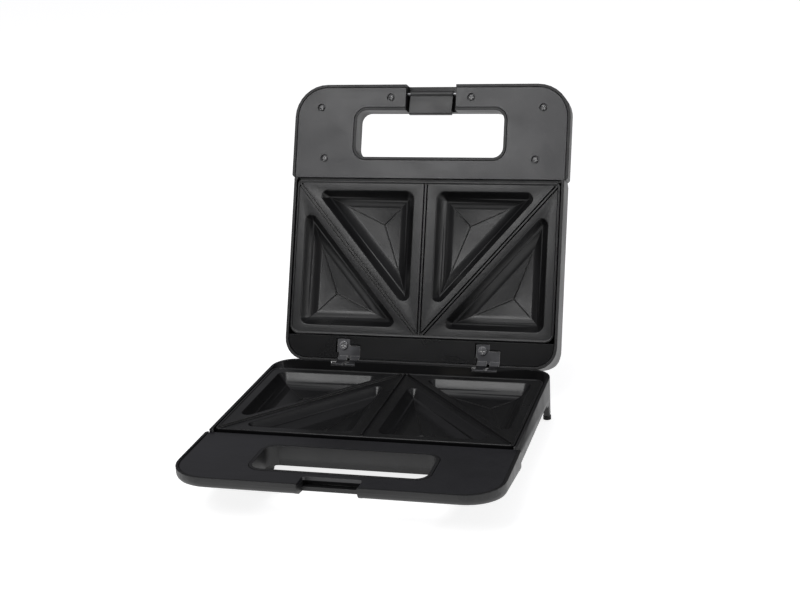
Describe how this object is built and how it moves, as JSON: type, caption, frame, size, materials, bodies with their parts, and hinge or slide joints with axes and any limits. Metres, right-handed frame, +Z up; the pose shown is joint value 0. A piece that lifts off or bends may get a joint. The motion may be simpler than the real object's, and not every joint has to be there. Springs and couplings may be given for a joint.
{
  "type": "sandwich toaster",
  "caption": "Countertop sandwich toaster with a hinged lid, triangular pocketed non-stick plates, pierced hand grips and a hanging front latch, standing open",
  "frame": {"origin": "on the table, in the middle of the appliance's width, below the cooking plates; the feet stand on z = 0", "axes": "+X to the right seen from the handles, +Y towards the hinges, +Z up; the hinge axis runs along X"},
  "size_m": [0.23, 0.3421, 0.2442],
  "materials": {
    "casing": "fine satin moulded grain",
    "cover": "fine matt moulded grain",
    "nonstick": "satin non-stick coating",
    "tube_steel": "satin steel tube",
    "reflector": "bright rolled sheet",
    "zinc": "zinc plated",
    "dark_screw": "blackened steel",
    "ceramic": "unglazed",
    "fuse_metal": "plain",
    "terminal_plastic": "moulded",
    "rubber": "matt",
    "hinge_steel": "pressed sheet steel",
    "pin_steel": "turned",
    "gloss_trim": "polished",
    "board": "plain",
    "lens_red": "clear moulded",
    "lens_green": "clear moulded",
    "latch_plastic": "smooth moulded"
  },
  "bodies": {
    "base": {"base_casing": "casing", "base_cover": "cover", "lower_plate": "nonstick", "lower_element": "tube_steel", "lower_reflector": "reflector", "lower_screw_fl": "zinc", "lower_screw_fr": "zinc", "lower_screw_bl": "zinc", "lower_screw_br": "zinc", "thermostat": "ceramic", "thermal_fuse": "fuse_metal", "terminal_block": "terminal_plastic", "cord_gland": "rubber", "base_hinge_l": "hinge_steel", "base_hinge_r": "hinge_steel", "hinge_pin_l": "pin_steel", "hinge_pin_r": "pin_steel", "foot_fl": "rubber", "foot_fr": "rubber", "foot_bl": "rubber", "foot_br": "rubber"},
    "lid": {"lid_casing": "casing", "lid_cover": "cover", "cover_screw_1": "dark_screw", "cover_screw_2": "dark_screw", "cover_screw_3": "dark_screw", "cover_screw_4": "dark_screw", "cover_screw_5": "dark_screw", "cover_screw_6": "dark_screw", "upper_plate": "nonstick", "upper_element": "tube_steel", "upper_reflector": "reflector", "upper_screw_fl": "zinc", "upper_screw_fr": "zinc", "upper_screw_bl": "zinc", "upper_screw_br": "zinc", "hinge_trim": "gloss_trim", "lid_hinge_l": "hinge_steel", "lid_hinge_r": "hinge_steel", "hinge_screw_l": "pin_steel", "hinge_screw_r": "pin_steel", "lamp_board": "board", "power_lens": "lens_red", "ready_lens": "lens_green", "latch_pin": "pin_steel"},
    "latch": {"latch": "latch_plastic"}
  },
  "joints": [
    {"name": "lid_hinge", "type": "hinge", "parent": "base", "child": "lid", "pos_m": [0, 0.061, 0.032], "axis": [1, 0, 0], "range_deg": [0, 112]},
    {"name": "latch_pivot", "type": "hinge", "parent": "lid", "child": "latch", "pos_m": [0, 0.15838, 0.23565], "axis": [-1, 0, 0], "range_deg": [0, 78]}
  ]
}
